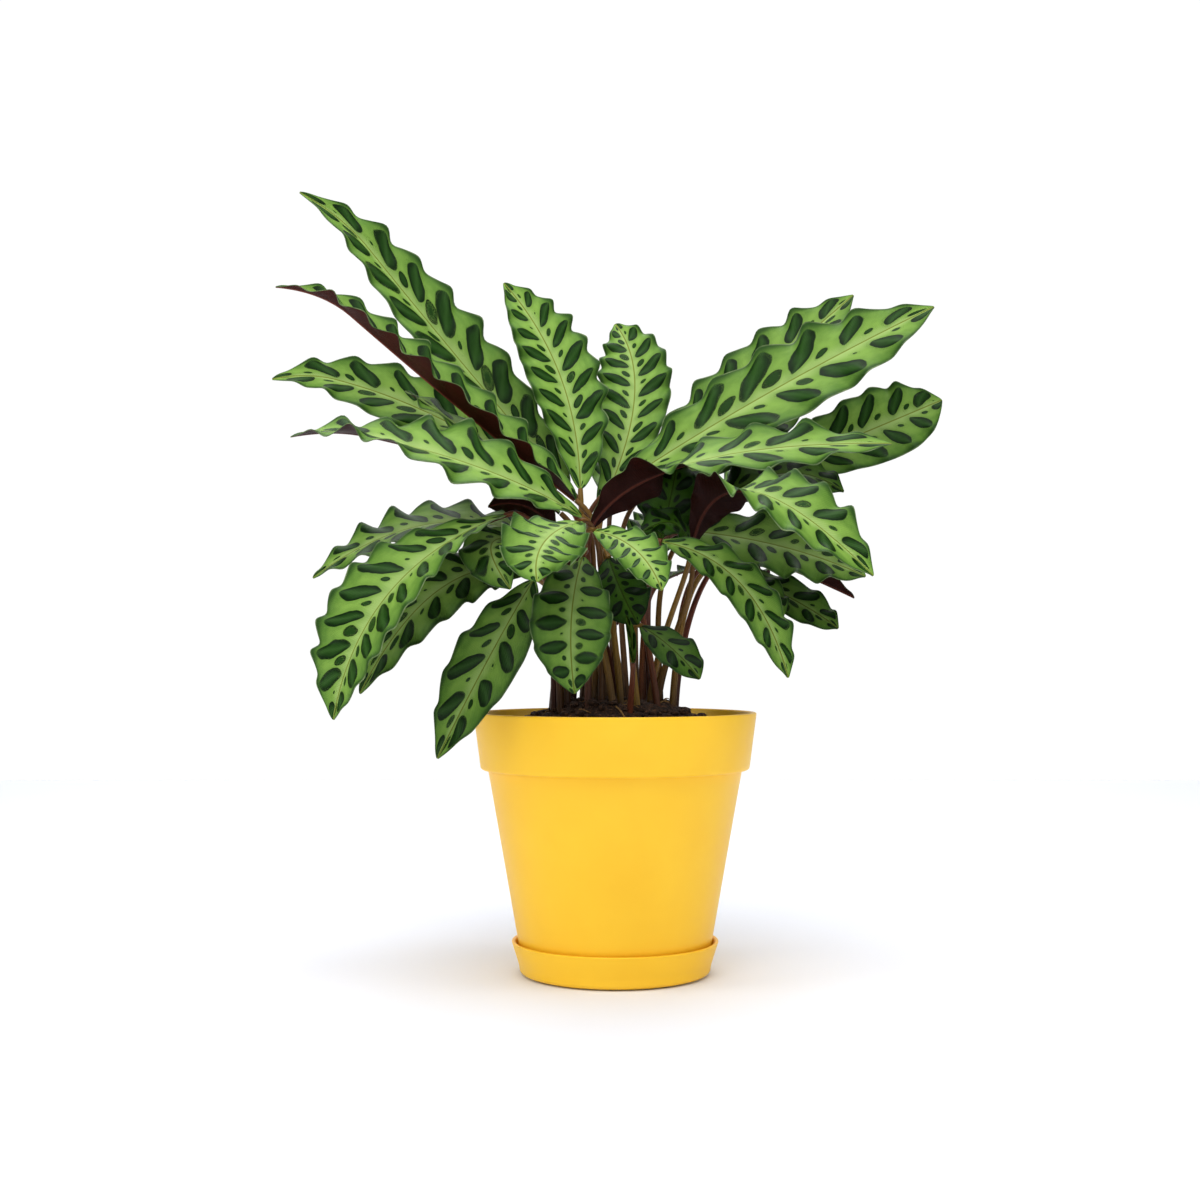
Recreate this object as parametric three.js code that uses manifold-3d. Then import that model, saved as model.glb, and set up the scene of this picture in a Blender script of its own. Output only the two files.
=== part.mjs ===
// Rattlesnake plant (Calathea lancifolia) growing in a round plastic pot on its saucer.
// Millimetres, +Z up. The origin is the centre of the saucer's underside; the pot's axis is Z
// and the plant's front faces -Y.
import * as THREE from "three";
import { mergeVertices } from "three/addons/utils/BufferGeometryUtils.js";
import Module from "manifold-3d";

const wasm = await Module();
wasm.setup();

// Driving dimensions
const TURN_SEGMENTS = 41; // sides of the turned pieces

const SAUCER = {
  rimR: 62,
  baseR: 52,
  footR: 57.5,
  footZ: 6,
  height: 20,
  wall: 2.4,
  floor: 3,
  soften: 0.8, // rounding of the lip
  cove: 1.5, // rounding where the wall meets the floor
};

const POT = {
  bottomR: 55,
  bodyTopR: 76.2, // outside, where the body meets the band
  bandBottomR: 80.5,
  rimR: 85,
  bandZ: 122, // underside of the band
  height: 156, // rim, above the table
  wall: 3,
  floor: 3,
  chamfer: 2,
  bandChamfer: 1.5,
  soften: 1, // rounding of the rim
  ledge: 1, // thickness of the step inside, above the band's underside
};
const DRAIN = { centreR: 5, outerR: 4, ringR: 34, count: 4, sides: 13 };

const SOIL = { edgeZ: 142, shoulderR: 58, shoulderZ: 147, collarZ: 153, gap: 0.3 };
const CROWN = { radius: 43, bottomZ: 128, edgeZ: 155, shoulderR: 30, shoulderZ: 162, topZ: 164 };

const BLADE = {
  thickness: 1.0,
  keel: 0.8, // how far the midrib stands out below
  baseHalfWidth: 1.6,
  tipHalfWidth: 0.6,
  fullness: 0.65, // exponent of the outline: lower is squarer
  endFullness: 0.9, // the same at the collar and at the very tip, where every blade is pointed
  rowLean: 0.22, // how far the side veins lean towards the tip
  droop: 0.12, // how far the two halves curve down, per half width
  usualWidth: 50,
  ruffle: 3.4, // height of the edge waves on a blade of the usual width
  edging: 2.2, // exponent: the higher, the closer the waves keep to the edge
  tooth: 0.05, // how far the crests stand out of the outline
  calm: 5, // the waves reach full height within 1/calm of each end
  skew: 0.4, // a wave rises steeply towards its crest and falls gently after it
  crestPhase: 1.2, // radians: where the skewed wave peaks
  lateness: 0.24, // rows: how much later a hollow comes than midway between two crests
  uneven: 0.3, // how far the waves differ in height
  unevenPace: 2, // radians from one wave to the next
  hookFrom: 0.8, // the part of the midrib past this bends by the leaf's hook
};
const ACROSS = [-1, -0.5, 0, 0.5, 1];
const RIB_STEP = 0.01; // share of the midrib over which its direction is taken

const STALK = {
  baseR: 2.6,
  midR: 1.6,
  topR: 1.5,
  sides: 5,
  steps: 7,
  sunk: 14, // how far below the crown's edge each stalk starts
  rise: 0.45, // share of its length over which it goes straight up
  approach: 0.3, // share over which it lines up with its blade
  gap: 0.3,
};

// Leaves. root: where the stalk leaves the crown (x, y); collar, mid, tip: the midrib of the blade;
// hook: how far the tip itself is bent away; face: which way the upper side looks, at even steps
// along the blade from the collar, the last one being held to the tip; waves: crests along an
// edge; swell: below 1 the blade is widest nearer its collar; fold: degrees each half is lifted;
// frill: how much higher its waves are than usual; fullness: the exponent of its outline.
const LEAVES = [
  // Upright, in the middle
  { root: [-8, 8], collar: [-21, 12, 292], mid: [-34, 32, 365], tip: [-70, 45, 426],
    width: 50, face: [[0.35, -0.93, 0.1]], waves: 9, swell: 0.85, fold: 20, fullness: 0.75 },
  { root: [2, 18], collar: [-11, 34, 277], mid: [13, 62, 354], tip: [1, 96, 410],
    width: 48, face: [[-0.15, -0.9, 0.4]], waves: 9, swell: 1.05, fullness: 0.75 },
  // Upper left, from the back forwards
  { root: [-20, 20], collar: [-29, 42, 296], mid: [-107, 60, 389], tip: [-192, 52, 494],
    hook: [-9, 0, -8], width: 52, face: [[0.35, -0.85, 0.35]], waves: 9, swell: 0.78,
    fold: 28, fullness: 0.8 },
  { root: [-26, 10], collar: [-37, 18, 291], mid: [-121, 26, 343], tip: [-209, 22, 368],
    hook: [-3, 0, -7], width: 44, face: [[0, -0.85, 0.5]], waves: 7, swell: 0.88,
    fold: 20, fullness: 0.8 },
  { root: [-18, 2], collar: [-24, 0, 284], mid: [-107, 0, 351], tip: [-197, 6, 429],
    hook: [-10, 0, -14], width: 40, face: [[0.55, -0.4, 0.73]], waves: 9, swell: 0.7,
    fold: 50, fullness: 0.8 },
  { root: [-30, 2], collar: [-33, -2, 276], mid: [-87, -7, 322], tip: [-126, -9, 349],
    width: 34, face: [[0, -0.25, 0.95]], waves: 4, swell: 0.9 },
  { root: [-14, -10], collar: [-20, -14, 273], mid: [-92, -48, 303], tip: [-183, -50, 323],
    hook: [-4, 0, -7], width: 58,
    face: [[0.1, -0.75, 0.65], [0.1, -0.75, 0.65], [0.1, -0.65, 0.75], [0.2, -0.3, 0.95]],
    waves: 7, swell: 1.05, fold: 20 },
  { root: [-32, -6], collar: [-36, -6, 266], mid: [-54, -8, 280], tip: [-76, -12, 279],
    width: 30, face: [[0, 0.45, 0.9]], waves: 4, swell: 0.9 },
  // Left, arching over and hanging
  { root: [-38, 4], collar: [-42, 6, 259], mid: [-110, -8, 269], tip: [-179, -20, 236],
    width: 51, face: [[0, -0.45, 0.9]], waves: 7, swell: 0.85, fullness: 0.8 },
  { root: [-36, -14], collar: [-64, -44, 271], mid: [-124, -88, 226], tip: [-155, -92, 155],
    width: 60, face: [[0, -0.3, 0.95], [-0.6, -0.8, 0.2]], waves: 9, swell: 1.05, fold: 24,
    frill: 0.5 },
  { root: [-38, -4], collar: [-51, -10, 241], mid: [-103, -28, 229], tip: [-148, -40, 168],
    width: 46, face: [[-0.25, -0.75, 0.5]], waves: 6, swell: 0.85, fullness: 0.8 },
  { root: [-32, -20], collar: [-48, -34, 234], mid: [-71, -66, 190], tip: [-98, -92, 134],
    width: 43, face: [[-0.3, -0.9, 0.3]], waves: 5, swell: 0.9, frill: 0.5, fullness: 0.85 },
  { root: [-28, -14], collar: [-58, -25, 258], mid: [-72, -44, 253], tip: [-60, -58, 228],
    width: 36, face: [[-0.2, -0.9, 0.4]], waves: 4, swell: 0.9 },
  // Front, in the middle
  { root: [-8, -24], collar: [-21, -52, 267], mid: [-40, -90, 252], tip: [-43, -104, 230],
    width: 46, face: [[0, -0.2, 1], [0, -0.95, 0.3]], waves: 6, swell: 0.9, frill: 1.2 },
  { root: [-16, -30], collar: [-19, -46, 247], mid: [-25, -76, 210], tip: [-23, -82, 169],
    width: 46, face: [[0, -1, 0.15]], waves: 6, swell: 0.9, frill: 0.6, fullness: 0.8 },
  { root: [0, -30], collar: [-12, -46, 262], mid: [11, -76, 249], tip: [25, -90, 226],
    width: 28, face: [[0.1, -0.85, 0.5]], waves: 6, swell: 0.95, frill: 1.2 },
  { root: [4, -22], collar: [-4, -30, 247], mid: [3, -40, 228], tip: [13, -44, 208],
    width: 32, face: [[0, -1, 0.1]], waves: 4, swell: 0.95 },
  { root: [14, -30], collar: [15, -42, 207], mid: [32, -60, 194], tip: [47, -70, 177],
    width: 25, face: [[0.2, -0.8, 0.55]], waves: 3, swell: 0.95, frill: 0.6 },
  // Right, from the back forwards
  { root: [16, 24], collar: [23, 62, 296], mid: [75, 75, 329], tip: [124, 84, 351],
    width: 40, face: [[0, -0.85, 0.45]], waves: 5, swell: 0.9 },
  { root: [6, 10], collar: [7, 20, 298], mid: [79, 35, 356], tip: [152, 48, 419],
    width: 48, face: [[-0.25, -0.85, 0.4]], waves: 7, swell: 1.05 },
  { root: [-2, 0], collar: [-3, 5, 290], mid: [91, 2, 348], tip: [194, 2, 402],
    width: 56, face: [[-0.2, -0.85, 0.45]], waves: 7, swell: 1.05 },
  { root: [24, 14], collar: [41, 34, 282], mid: [135, 42, 321], tip: [208, 48, 352],
    width: 50, face: [[0.1, -0.9, 0.35]], waves: 8, swell: 1.65, frill: 0.7 },
  { root: [-4, -10], collar: [-14, -18, 266], mid: [44, -29, 303], tip: [160, -42, 313],
    width: 43, face: [[-0.25, 0.85, 0.45], [-0.25, 0.85, 0.45], [0, -0.35, 0.75], [0, -0.7, 0.7]],
    waves: 7, swell: 1.12, frill: 1.3 },
  { root: [28, 8], collar: [46, 15, 268], mid: [95, 10, 300], tip: [140, 10, 290],
    width: 38, face: [[0, -0.7, 0.7]], waves: 5, swell: 1 },
  // Right, arching over and hanging
  { root: [20, -12], collar: [45, -34, 253], mid: [75, -68, 283], tip: [141, -92, 234],
    width: 52, waves: 8, swell: 1.25, fold: 20, frill: 0.85, fullness: 0.45,
    face: [[0.35, 0.8, 0.45], [0.35, 0.5, 0.75], [0.35, -0.5, 0.75], [0.3, -0.75, 0.55]] },
  { root: [22, 2], collar: [46, -14, 264], mid: [98, -28, 254], tip: [145, -40, 236],
    width: 48, face: [[0, -0.75, 0.65]], waves: 5, swell: 0.8, frill: 1.3 },
  { root: [26, -20], collar: [27, -42, 256], mid: [70, -66, 231], tip: [95, -84, 178],
    width: 29, face: [[0.3, -0.85, 0.4]], waves: 6, swell: 0.95, fullness: 0.5 },
  { root: [36, 6], collar: [65, 8, 244], mid: [103, -14, 225], tip: [131, -26, 206],
    width: 26, face: [[0.2, -0.85, 0.4]], waves: 4, swell: 1 },
  { root: [34, -12], collar: [66, -14, 241], mid: [84, -27, 228], tip: [98, -34, 213],
    width: 26, face: [[0.2, -0.85, 0.4]], waves: 3, swell: 1 },
  { root: [36, 2], collar: [89, 24, 252], mid: [120, 17, 238], tip: [146, 10, 225],
    width: 14, face: [[0, 0.6, 0.8]], waves: 3, swell: 1, fold: 50 },
  // Inside the bunch
  { root: [16, -4], collar: [25, 6, 249], mid: [33, 4, 282], tip: [38, 8, 308],
    width: 38, face: [[-0.4, -0.9, 0.1]], waves: 4, swell: 0.95 },
  { root: [24, -8], collar: [44, -18, 256], mid: [33, -28, 268], tip: [15, -34, 262],
    width: 26, face: [[0, -0.7, 0.7]], waves: 3, swell: 0.95 },
  // A young one, still rolled up
  { root: [8, -36], collar: [10, -46, 186], mid: [9, -49, 200], tip: [6, -50, 213],
    width: 9, face: [[0, -1, 0.2]], waves: 2, swell: 0.9, fold: 60 },
  // Far side
  { root: [-10, 30], collar: [-22, 86, 252], mid: [-43, 136, 262], tip: [-66, 186, 246],
    width: 46, face: [[0, 0.3, 0.95]], waves: 6, swell: 0.9 },
  { root: [-2, 36], collar: [-2, 78, 224], mid: [-12, 126, 222], tip: [-24, 170, 188],
    width: 44, face: [[0, 0.5, 0.85]], waves: 6, swell: 0.9 },
  { root: [8, 32], collar: [12, 92, 262], mid: [36, 136, 284], tip: [62, 176, 276],
    width: 44, face: [[-0.1, -0.2, 0.95]], waves: 6, swell: 0.9 },
  { root: [20, 30], collar: [34, 74, 240], mid: [74, 118, 248], tip: [108, 160, 226],
    width: 44, face: [[0.2, 0.4, 0.9]], waves: 6, swell: 0.9 },
  { root: [-28, 26], collar: [-48, 66, 238], mid: [-90, 106, 248], tip: [-128, 138, 226],
    width: 44, face: [[-0.2, 0.4, 0.9]], waves: 6, swell: 0.9 },
  { root: [0, 26], collar: [-2, 74, 288], mid: [4, 124, 330], tip: [10, 172, 350],
    width: 44, face: [[0, -0.5, 0.85]], waves: 6, swell: 0.9 },
  { root: [-18, 30], collar: [-30, 72, 286], mid: [-78, 112, 318], tip: [-118, 146, 330],
    width: 44, face: [[0.2, -0.2, 0.95]], waves: 6, swell: 0.9 },
  { root: [14, 34], collar: [36, 84, 280], mid: [80, 120, 306], tip: [122, 144, 322],
    width: 44, face: [[-0.2, -0.2, 0.95]], waves: 6, swell: 0.9 },
];
const DEFAULT_FOLD = 12; // degrees

// Materials
const plastic = new THREE.MeshStandardMaterial({ color: "#fbc93a", roughness: 0.45, metalness: 0 });
const peat = new THREE.MeshStandardMaterial({ color: "#2d211b", roughness: 0.95, metalness: 0 });
const stalk = new THREE.MeshStandardMaterial({ color: "#6b4a2e", roughness: 0.6, metalness: 0 });
const leafGreen = new THREE.MeshStandardMaterial({ color: "#6f9b45", roughness: 0.5, metalness: 0 });

// Joining and cutting
function solidFrom(geometry) {
  const bare = geometry.clone();
  bare.deleteAttribute("normal");
  bare.deleteAttribute("uv");
  const merged = mergeVertices(bare, 1e-4);
  return new wasm.Manifold(
    new wasm.Mesh({
      numProp: 3,
      vertProperties: merged.attributes.position.array,
      triVerts: new Uint32Array(merged.index.array),
    }),
  );
}

function geometryFrom(solid) {
  const mesh = solid.getMesh();
  const geometry = new THREE.BufferGeometry();
  geometry.setAttribute("position", new THREE.BufferAttribute(mesh.vertProperties, 3));
  geometry.setIndex(new THREE.BufferAttribute(mesh.triVerts, 1));
  geometry.computeVertexNormals();
  return geometry;
}

// A profile of [radius, height] pairs, turned about the Z axis.
function turned(profile) {
  const points = profile.map(([radius, height]) => new THREE.Vector2(radius, height));
  return new THREE.LatheGeometry(points, TURN_SEGMENTS).rotateX(Math.PI / 2);
}

// An upright cylinder from one height to another.
function post(radius, bottom, top, sides) {
  return new THREE.CylinderGeometry(radius, radius, top - bottom, sides)
    .rotateX(Math.PI / 2)
    .translate(0, 0, (top + bottom) / 2);
}

// Pot and saucer
function saucerGeometry() {
  const { rimR, baseR, footR, footZ, height, wall, floor, soften, cove } = SAUCER;
  const corner = new THREE.QuadraticBezierCurve(
    new THREE.Vector2(baseR, 0),
    new THREE.Vector2(footR - soften, 0),
    new THREE.Vector2(footR, footZ),
  );
  const foot = corner.getPoints(3).map(({ x, y }) => [x, y]);
  return turned([
    [0, 0],
    ...foot,
    [rimR, height - soften],
    [rimR - soften, height],
    [rimR - wall + soften, height],
    [rimR - wall, height - soften],
    [footR - wall + cove / 2, floor + cove],
    [footR - wall, floor],
    [0, floor],
  ]);
}

// Radius of the inside of the pot at a height above the floor and below the band.
function potInnerRadius(z) {
  const bottomZ = SAUCER.floor + POT.floor;
  const share = (z - bottomZ) / (POT.bandZ - POT.wall - bottomZ);
  return POT.bottomR - POT.wall + share * (POT.bodyTopR - POT.bottomR);
}

// Radius of the inside of the band, above the step.
function bandInnerRadius(z) {
  const share = (z - POT.bandZ) / (POT.height - POT.bandZ);
  return POT.bandBottomR - POT.wall + share * (POT.rimR - POT.bandBottomR);
}

function potGeometry() {
  const bottomZ = SAUCER.floor;
  const floorZ = bottomZ + POT.floor;
  const stepZ = POT.bandZ - POT.wall;
  const body = solidFrom(
    turned([
      [0, bottomZ],
      [POT.bottomR - POT.chamfer, bottomZ],
      [POT.bottomR, bottomZ + POT.chamfer],
      [POT.bodyTopR, POT.bandZ],
      [POT.bandBottomR - POT.bandChamfer, POT.bandZ],
      [POT.bandBottomR, POT.bandZ + POT.bandChamfer],
      [POT.rimR, POT.height - POT.soften],
      [POT.rimR - POT.soften, POT.height],
      [POT.rimR - POT.wall + POT.soften, POT.height],
      [POT.rimR - POT.wall, POT.height - POT.soften],
      [bandInnerRadius(POT.bandZ + POT.ledge), POT.bandZ + POT.ledge],
      [potInnerRadius(stepZ), stepZ],
      [potInnerRadius(floorZ), floorZ],
      [0, floorZ],
    ]),
  );
  const drain = (radius, x, y) =>
    solidFrom(post(radius, bottomZ - 1, floorZ + 1, DRAIN.sides).translate(x, y, 0));
  let cut = body.subtract(drain(DRAIN.centreR, 0, 0));
  for (let i = 0; i < DRAIN.count; i++) {
    const angle = ((i + 0.5) / DRAIN.count) * 2 * Math.PI;
    cut = cut.subtract(
      drain(DRAIN.outerR, DRAIN.ringR * Math.cos(angle), DRAIN.ringR * Math.sin(angle)),
    );
  }
  return geometryFrom(cut);
}

function soilGeometry() {
  const floorZ = SAUCER.floor + POT.floor;
  const stepZ = POT.bandZ - POT.wall;
  const ledgeZ = POT.bandZ + POT.ledge;
  const holeR = CROWN.radius + SOIL.gap;
  const holeZ = CROWN.bottomZ - SOIL.gap;
  return turned([
    [0, floorZ],
    [potInnerRadius(floorZ) - SOIL.gap, floorZ],
    [potInnerRadius(stepZ) - SOIL.gap, stepZ],
    [bandInnerRadius(ledgeZ) - SOIL.gap, ledgeZ + SOIL.gap],
    [bandInnerRadius(SOIL.edgeZ) - SOIL.gap, SOIL.edgeZ],
    [SOIL.shoulderR, SOIL.shoulderZ],
    [holeR, SOIL.collarZ],
    [holeR, holeZ],
    [0, holeZ],
  ]);
}

// Blades. The midrib: a curve from collar to tip, whose end is bent away by the hook.
function ribPoint(leaf, u) {
  const bent = Math.max(0, u - BLADE.hookFrom) / (1 - BLADE.hookFrom);
  return leaf.rib.getPoint(u).addScaledVector(leaf.hook, bent ** 2);
}

function ribTangent(leaf, u) {
  const before = ribPoint(leaf, Math.max(0, u - RIB_STEP));
  return ribPoint(leaf, Math.min(1, u + RIB_STEP)).sub(before).normalize();
}

// The directions in leaf.face, blended along the blade.
function facing(leaf, u) {
  const place = Math.min(u, 1) * (leaf.face.length - 1);
  const step = Math.min(Math.floor(place), leaf.face.length - 2);
  return leaf.face[step].clone().lerp(leaf.face[step + 1], place - step);
}

// The frame of a blade at a place along its midrib: the point, and the directions across and up.
function bladeFrame(leaf, u) {
  const point = ribPoint(leaf, u);
  const along = ribTangent(leaf, u);
  const up = facing(leaf, u);
  up.addScaledVector(along, -up.dot(along)).normalize();
  return { point, up, across: new THREE.Vector3().crossVectors(along, up) };
}

function halfWidth(leaf, s) {
  const nearEnd = Math.max((1 - s) ** 2, s ** 8);
  const fullness = leaf.fullness + (BLADE.endFullness - leaf.fullness) * nearEnd;
  const outline = Math.sin(Math.PI * s ** leaf.swell) ** fullness;
  const foot = BLADE.baseHalfWidth * (1 - s) ** 4;
  return (leaf.width / 2) * outline + foot + BLADE.tipHalfWidth * s;
}

// A point of the upper side: s runs from collar to tip along the veins, t from edge to edge.
// One edge has its crests where the other has its hollows.
function bladePoint(leaf, s, t) {
  const side = Math.abs(t);
  const { point, up, across } = bladeFrame(leaf, s + BLADE.rowLean * side * s * (1 - s));
  const row = leaf.waves * s + (t < 0 ? 0.5 : 0);
  const phase = 2 * Math.PI * row + BLADE.crestPhase;
  const wave = Math.sin(phase + BLADE.skew * Math.sin(phase));
  const uneven = 1 + BLADE.uneven * Math.sin(BLADE.unevenPace * (row + leaf.number));
  const height = leaf.frill * uneven * Math.min(1, BLADE.calm * s, BLADE.calm * (1 - s));
  const reach = halfWidth(leaf, s) * side * (1 + BLADE.tooth * wave * height * side);
  const lift = Math.sin(leaf.fold) * reach - BLADE.droop * reach * side;
  const ruffle = BLADE.ruffle * (leaf.width / BLADE.usualWidth);
  return {
    top: point
      .addScaledVector(across, Math.sign(t) * Math.cos(leaf.fold) * reach)
      .addScaledVector(up, lift + ruffle * height * wave * side ** BLADE.edging),
    up,
  };
}

// Where a row of the net crosses each column. On one edge even rows are crests and odd ones are
// hollows, on the other edge it is the other way round, and hollows come a little late.
function rowPlace(i, rows, t) {
  if (i === 0 || i === rows) return i / rows;
  const side = Math.abs(t);
  const hollow = (i % 2 === 1) !== t < 0 ? 1 : 0;
  return (i + BLADE.lateness * (hollow * side + (1 - side) / 2)) / rows;
}

// Both faces of the blade are the same net, split into the same triangles, so they never cross.
function bladeGeometry(leaf) {
  const rows = 2 * leaf.waves;
  const columns = ACROSS.length;
  const perFace = (rows + 1) * columns;
  const positions = [];
  const under = [];
  for (let i = 0; i <= rows; i++) {
    for (const t of ACROSS) {
      const { top, up } = bladePoint(leaf, rowPlace(i, rows, t), t);
      const depth = BLADE.thickness + (t === 0 ? BLADE.keel * (1 - i / rows) : 0);
      positions.push(top.x, top.y, top.z);
      under.push(top.x - up.x * depth, top.y - up.y * depth, top.z - up.z * depth);
    }
  }
  positions.push(...under);
  const triangles = [];
  const quad = (a, b, c, d) => triangles.push(a, b, c, a, c, d);
  for (let i = 0; i < rows; i++) {
    for (let j = 0; j < columns - 1; j++) {
      const a = i * columns + j;
      const [b, c, d] = [a + 1, a + columns + 1, a + columns];
      quad(a, b, c, d);
      triangles.push(perFace + a, perFace + c, perFace + b, perFace + a, perFace + d, perFace + c);
    }
    const left = i * columns;
    const right = left + columns - 1;
    quad(left, left + columns, perFace + left + columns, perFace + left);
    quad(right, perFace + right, perFace + right + columns, right + columns);
  }
  for (let j = 0; j < columns - 1; j++) {
    const tip = rows * columns + j;
    quad(j, perFace + j, perFace + j + 1, j + 1);
    quad(tip, tip + 1, perFace + tip + 1, perFace + tip);
  }
  const geometry = new THREE.BufferGeometry();
  geometry.setAttribute("position", new THREE.Float32BufferAttribute(positions, 3));
  geometry.setIndex(triangles);
  geometry.computeVertexNormals();
  return geometry;
}

// Crown and stalks. A stalk rises from the crown and meets its blade along the blade's own midrib.
function stalkCurve(leaf) {
  const start = new THREE.Vector3(leaf.root[0], leaf.root[1], CROWN.edgeZ - STALK.sunk);
  const arrive = ribTangent(leaf, 0);
  const end = ribPoint(leaf, 0).addScaledVector(arrive, -STALK.gap);
  const span = start.distanceTo(end);
  const rise = start.clone().add(new THREE.Vector3(0, 0, STALK.rise * span));
  const approach = end.clone().addScaledVector(arrive, -STALK.approach * span);
  return new THREE.CubicBezierCurve3(start, rise, approach, end);
}

function stalkRadius(u) {
  const { baseR, midR, topR } = STALK;
  return midR + (baseR - midR) * (1 - u) ** 2 + (topR - midR) * u ** 4;
}

// A closed tube round a curve, with rings square to it.
function stalkGeometry(curve) {
  const frames = curve.computeFrenetFrames(STALK.steps, false);
  const positions = [];
  for (let i = 0; i <= STALK.steps; i++) {
    const centre = curve.getPointAt(i / STALK.steps);
    const radius = stalkRadius(i / STALK.steps);
    for (let k = 0; k < STALK.sides; k++) {
      const angle = (2 * Math.PI * k) / STALK.sides;
      const rim = centre
        .clone()
        .addScaledVector(frames.normals[i], radius * Math.cos(angle))
        .addScaledVector(frames.binormals[i], radius * Math.sin(angle));
      positions.push(rim.x, rim.y, rim.z);
    }
  }
  const triangles = [];
  for (let i = 0; i < STALK.steps; i++) {
    for (let k = 0; k < STALK.sides; k++) {
      const a = i * STALK.sides + k;
      const b = i * STALK.sides + ((k + 1) % STALK.sides);
      triangles.push(a, b, b + STALK.sides, a, b + STALK.sides, a + STALK.sides);
    }
  }
  const last = STALK.steps * STALK.sides;
  for (let k = 1; k < STALK.sides - 1; k++) {
    triangles.push(0, k + 1, k, last, last + k, last + k + 1);
  }
  const geometry = new THREE.BufferGeometry();
  geometry.setAttribute("position", new THREE.Float32BufferAttribute(positions, 3));
  geometry.setIndex(triangles);
  return geometry;
}

function stemsGeometry(leaves) {
  const crown = turned([
    [0, CROWN.bottomZ],
    [CROWN.radius, CROWN.bottomZ],
    [CROWN.radius, CROWN.edgeZ],
    [CROWN.shoulderR, CROWN.shoulderZ],
    [0, CROWN.topZ],
  ]);
  const stalks = leaves.map((leaf) => solidFrom(stalkGeometry(stalkCurve(leaf))));
  return geometryFrom(wasm.Manifold.union([solidFrom(crown), ...stalks]));
}

// Assembly
const leaves = LEAVES.map((row, index) => {
  const [collar, mid, tip] = [row.collar, row.mid, row.tip].map((p) => new THREE.Vector3(...p));
  const bend = mid.clone().multiplyScalar(2).addScaledVector(collar, -0.5).addScaledVector(tip, -0.5);
  return {
    ...row,
    name: `leaf_${String(index + 1).padStart(2, "0")}`,
    number: index + 1,
    hook: new THREE.Vector3(...(row.hook ?? [0, 0, 0])),
    frill: row.frill ?? 1,
    fullness: row.fullness ?? BLADE.fullness,
    rib: new THREE.QuadraticBezierCurve3(collar, bend, tip),
    face: [...row.face, row.face.at(-1)].map((p) => new THREE.Vector3(...p).normalize()),
    fold: THREE.MathUtils.degToRad(row.fold ?? DEFAULT_FOLD),
  };
});

const plant = new THREE.Group();

function place(name, geometry, material) {
  const mesh = new THREE.Mesh(geometry, material);
  mesh.name = name;
  plant.add(mesh);
}

place("saucer", saucerGeometry(), plastic);
place("pot", potGeometry(), plastic);
place("soil", soilGeometry(), peat);
place("stems", stemsGeometry(leaves), stalk);
for (const leaf of leaves) place(leaf.name, bladeGeometry(leaf), leafGreen);

export default plant;
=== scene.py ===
import functools
import math
import random

import bmesh
import bpy
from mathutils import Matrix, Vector, noise


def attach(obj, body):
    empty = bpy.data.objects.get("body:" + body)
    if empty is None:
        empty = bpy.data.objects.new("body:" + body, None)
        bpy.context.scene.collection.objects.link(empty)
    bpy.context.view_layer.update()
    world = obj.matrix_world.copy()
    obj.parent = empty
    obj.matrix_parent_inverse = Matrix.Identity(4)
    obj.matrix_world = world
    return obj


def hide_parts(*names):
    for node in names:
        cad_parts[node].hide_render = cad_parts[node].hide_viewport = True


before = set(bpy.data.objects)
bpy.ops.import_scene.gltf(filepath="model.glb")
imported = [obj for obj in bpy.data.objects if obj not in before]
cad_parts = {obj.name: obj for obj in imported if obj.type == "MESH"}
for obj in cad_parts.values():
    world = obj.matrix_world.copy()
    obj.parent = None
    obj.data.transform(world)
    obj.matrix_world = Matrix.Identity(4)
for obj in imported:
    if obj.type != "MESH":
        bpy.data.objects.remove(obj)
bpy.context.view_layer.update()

mm = 0.001  # sizes below are in millimetres, Blender's units are metres
fullTurn = 2 * math.pi
scene = bpy.context.scene


# small helpers

def linearColour(hexCode):
    parts = [int(hexCode[i:i + 2], 16) / 255 for i in (1, 3, 5)]
    return tuple(c / 12.92 if c <= 0.04045 else ((c + 0.055) / 1.055) ** 2.4 for c in parts) + (1.0,)


def feed(socket, value):
    # value: a number, a colour, a socket, or a node, whose first active output is taken
    if isinstance(value, bpy.types.Node):
        value = next(output for output in value.outputs if output.enabled)
    if isinstance(value, bpy.types.NodeSocket):
        socket.id_data.links.new(value, socket)
    else:
        socket.default_value = value


def addNode(material, kind, *values, stops=(), **settings):
    # values fill the node's active inputs in order; settings are its own properties, or inputs by
    # their names, which start with a capital; stops: the places and hex colours of a ramp
    node = material.node_tree.nodes.new("ShaderNode" + kind)
    named = {key: settings.pop(key) for key in list(settings) if key[0].isupper()}
    for key, value in settings.items():
        setattr(node, key, value)
    for socket, value in zip([socket for socket in node.inputs if socket.enabled], values):
        feed(socket, value)
    for key, value in named.items():
        feed(node.inputs[key.replace("_", " ")], value)
    for _ in stops[2:]:
        node.color_ramp.elements.new(0.5)
    for i, (place, hexCode) in enumerate(stops):
        node.color_ramp.elements[i].position = place
        node.color_ramp.elements[i].color = linearColour(hexCode)
    return node


def newMaterial(name, **surface):
    # a Principled surface whose uniform values sit on its own sockets, and what adds nodes to it
    material = bpy.data.materials.new(name)
    material.use_nodes = True
    shader = material.node_tree.nodes["Principled BSDF"]
    for key, value in surface.items():
        feed(shader.inputs[key.replace("_", " ")], value)
    return material, shader, functools.partial(addNode, material)


def ringPoint(radius, share, height):
    # a point in millimetres, the given share of a turn round the pot's axis
    return radius * math.cos(fullTurn * share), radius * math.sin(fullTurn * share), height


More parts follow.
